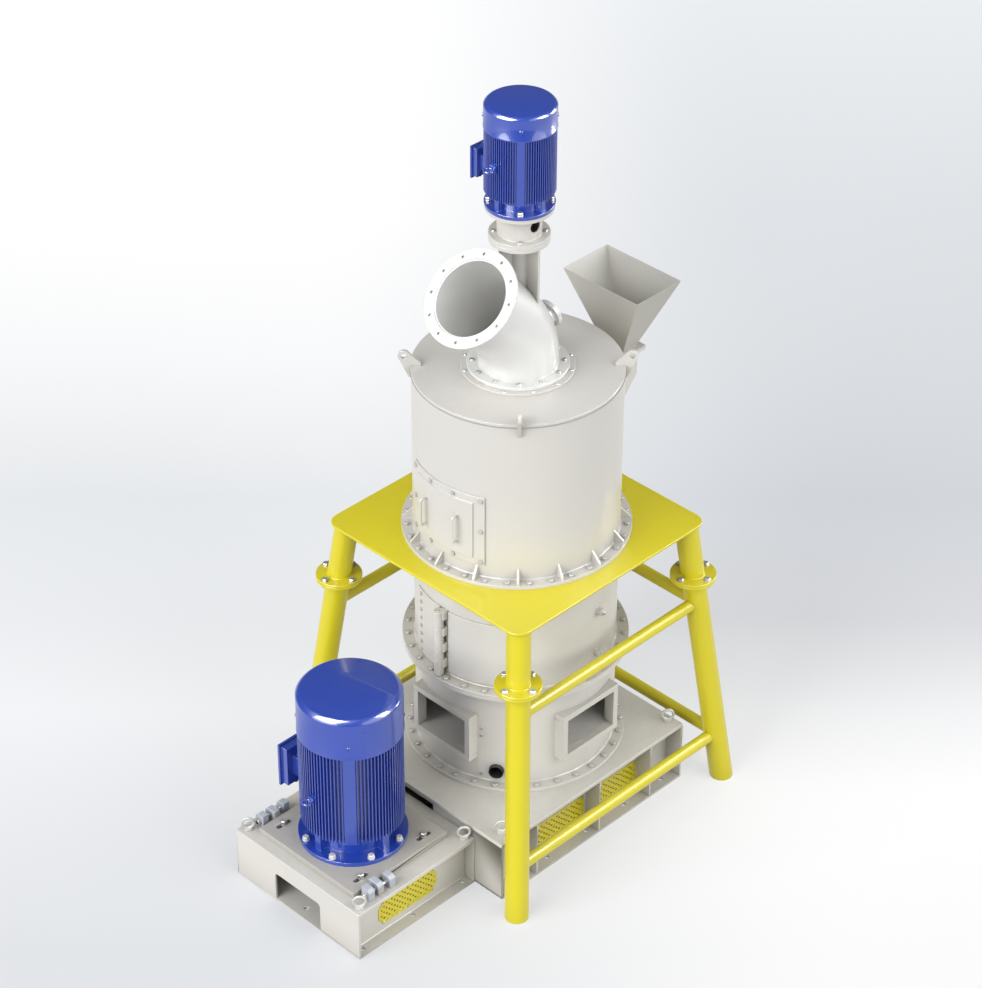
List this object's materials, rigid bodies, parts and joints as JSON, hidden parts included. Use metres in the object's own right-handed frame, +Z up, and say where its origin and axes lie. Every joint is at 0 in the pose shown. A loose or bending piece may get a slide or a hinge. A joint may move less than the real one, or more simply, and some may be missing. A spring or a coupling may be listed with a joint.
{
  "type": "ring roller mill",
  "caption": "Vertical mill that grinds powder between rollers and stacked rings, with a belt-driven flange motor beside it, a feed hopper and a motor-driven classifier on top.",
  "frame": {"origin": "mill axis at the floor, on the underside of the mill base", "axes": "+Z up along the mill axis, -Y from the mill to its main motor, +Y to the feed hopper, +X to the side air inlet"},
  "size_m": [1.9924, 2.898, 4.768],
  "materials": {
    "off_white_paint": "satin paint",
    "yellow_paint": "gloss paint",
    "blue_paint": "gloss paint",
    "red_paint": "gloss paint",
    "grey_paint": "satin paint",
    "zinc_plate": "zinc plated",
    "machined_steel": "machined",
    "wear_iron": "as cast",
    "belt_rubber": "matt"
  },
  "bodies": {
    "mill": {"access_cover": "off_white_paint", "air_duct": "off_white_paint", "bearing_housing": "off_white_paint", "belt_guards": "yellow_paint", "casing_bolts": "zinc_plate", "classifier_stand": "off_white_paint", "eye_bolts": "zinc_plate", "feed_chute": "off_white_paint", "grinding_rings": "wear_iron", "head_bolts": "zinc_plate", "heel_cover": "off_white_paint", "hinge_leaf": "off_white_paint", "hinge_pin": "zinc_plate", "hopper": "grey_paint", "jack_screws": "zinc_plate", "leg_braces": "yellow_paint", "leg_joint_bolts": "zinc_plate", "leg_stubs": "yellow_paint", "lifting_lugs": "off_white_paint", "lower_casing": "off_white_paint", "lower_legs": "yellow_paint", "main_base": "off_white_paint", "middle_casing": "off_white_paint", "motor_base": "off_white_paint", "motor_lantern": "off_white_paint", "outlet_elbow": "off_white_paint", "platform_plate": "yellow_paint", "shaft_bearings": "machined_steel", "slide_bolts": "zinc_plate", "top_cover": "off_white_paint", "top_motor_cowl": "blue_paint", "top_motor_frame": "blue_paint", "top_terminal_box": "blue_paint", "upper_casing": "off_white_paint", "v_belts": "belt_rubber"},
    "door": {"middle_door": "off_white_paint", "door_bolts": "zinc_plate"},
    "main_rotor": {"main_shaft": "machined_steel", "roller_cage": "machined_steel", "mill_pulley": "wear_iron"},
    "motor_slide": {"motor_slide_plate": "off_white_paint", "main_motor_frame": "blue_paint", "main_motor_cowl": "blue_paint", "main_terminal_box": "blue_paint", "main_motor_bolts": "zinc_plate"},
    "main_motor_shaft": {"main_motor_rotor": "machined_steel", "motor_pulley": "wear_iron"},
    "classifier": {"top_motor_rotor": "machined_steel", "drive_coupling": "red_paint", "classifier_shaft": "machined_steel", "classifier_wheel": "machined_steel"},
    "roller_1a": {"roller_1a": "wear_iron"},
    "roller_1b": {"roller_1b": "wear_iron"},
    "roller_1c": {"roller_1c": "wear_iron"},
    "roller_2a": {"roller_2a": "wear_iron"},
    "roller_2b": {"roller_2b": "wear_iron"},
    "roller_2c": {"roller_2c": "wear_iron"},
    "roller_3a": {"roller_3a": "wear_iron"},
    "roller_3b": {"roller_3b": "wear_iron"},
    "roller_3c": {"roller_3c": "wear_iron"}
  },
  "joints": [
    {"name": "main_shaft_spin", "type": "hinge", "parent": "mill", "child": "main_rotor", "pos_m": [0, 0, 0.6], "axis": [0, 0, 1], "continuous": true},
    {"name": "roller_1a_spin", "type": "hinge", "parent": "main_rotor", "child": "roller_1a", "pos_m": [0, 0.34, 1.28], "axis": [0, 0, 1], "continuous": true},
    {"name": "roller_1b_spin", "type": "hinge", "parent": "main_rotor", "child": "roller_1b", "pos_m": [-0.29445, -0.17, 1.28], "axis": [0, 0, 1], "continuous": true},
    {"name": "roller_1c_spin", "type": "hinge", "parent": "main_rotor", "child": "roller_1c", "pos_m": [0.29445, -0.17, 1.28], "axis": [0, 0, 1], "continuous": true},
    {"name": "roller_2a_spin", "type": "hinge", "parent": "main_rotor", "child": "roller_2a", "pos_m": [-0.21855, 0.26045, 1.48], "axis": [0, 0, 1], "continuous": true},
    {"name": "roller_2b_spin", "type": "hinge", "parent": "main_rotor", "child": "roller_2b", "pos_m": [-0.11629, -0.31949, 1.48], "axis": [0, 0, 1], "continuous": true},
    {"name": "roller_2c_spin", "type": "hinge", "parent": "main_rotor", "child": "roller_2c", "pos_m": [0.33483, 0.05904, 1.48], "axis": [0, 0, 1], "continuous": true},
    {"name": "roller_3a_spin", "type": "hinge", "parent": "main_rotor", "child": "roller_3a", "pos_m": [-0.33483, 0.05904, 1.68], "axis": [0, 0, 1], "continuous": true},
    {"name": "roller_3b_spin", "type": "hinge", "parent": "main_rotor", "child": "roller_3b", "pos_m": [0.11629, -0.31949, 1.68], "axis": [0, 0, 1], "continuous": true},
    {"name": "roller_3c_spin", "type": "hinge", "parent": "main_rotor", "child": "roller_3c", "pos_m": [0.21855, 0.26045, 1.68], "axis": [0, 0, 1], "continuous": true},
    {"name": "motor_slide_travel", "type": "slide", "parent": "mill", "child": "motor_slide", "axis": [0, 1, 0], "range_m": [0, 0.03]},
    {"name": "main_motor_spin", "type": "hinge", "parent": "motor_slide", "child": "main_motor_shaft", "pos_m": [0, -1.378, 0.5], "axis": [0, 0, 1], "continuous": true},
    {"name": "classifier_spin", "type": "hinge", "parent": "mill", "child": "classifier", "pos_m": [0, 0, 3.5], "axis": [0, 0, 1], "continuous": true},
    {"name": "middle_door_hinge", "type": "hinge", "parent": "mill", "child": "door", "pos_m": [0, -0.652, 1.41], "axis": [0, 0, -1], "range_deg": [0, 80]}
  ],
  "couplings": [
    {"joint": "roller_1a_spin", "follows": "main_shaft_spin", "ratio": -3.1309},
    {"joint": "roller_1b_spin", "follows": "main_shaft_spin", "ratio": -3.1309},
    {"joint": "roller_1c_spin", "follows": "main_shaft_spin", "ratio": -3.1309},
    {"joint": "roller_2a_spin", "follows": "main_shaft_spin", "ratio": -3.1309},
    {"joint": "roller_2b_spin", "follows": "main_shaft_spin", "ratio": -3.1309},
    {"joint": "roller_2c_spin", "follows": "main_shaft_spin", "ratio": -3.1309},
    {"joint": "roller_3a_spin", "follows": "main_shaft_spin", "ratio": -3.1309},
    {"joint": "roller_3b_spin", "follows": "main_shaft_spin", "ratio": -3.1309},
    {"joint": "roller_3c_spin", "follows": "main_shaft_spin", "ratio": -3.1309},
    {"joint": "main_motor_spin", "follows": "main_shaft_spin", "ratio": 4}
  ]
}
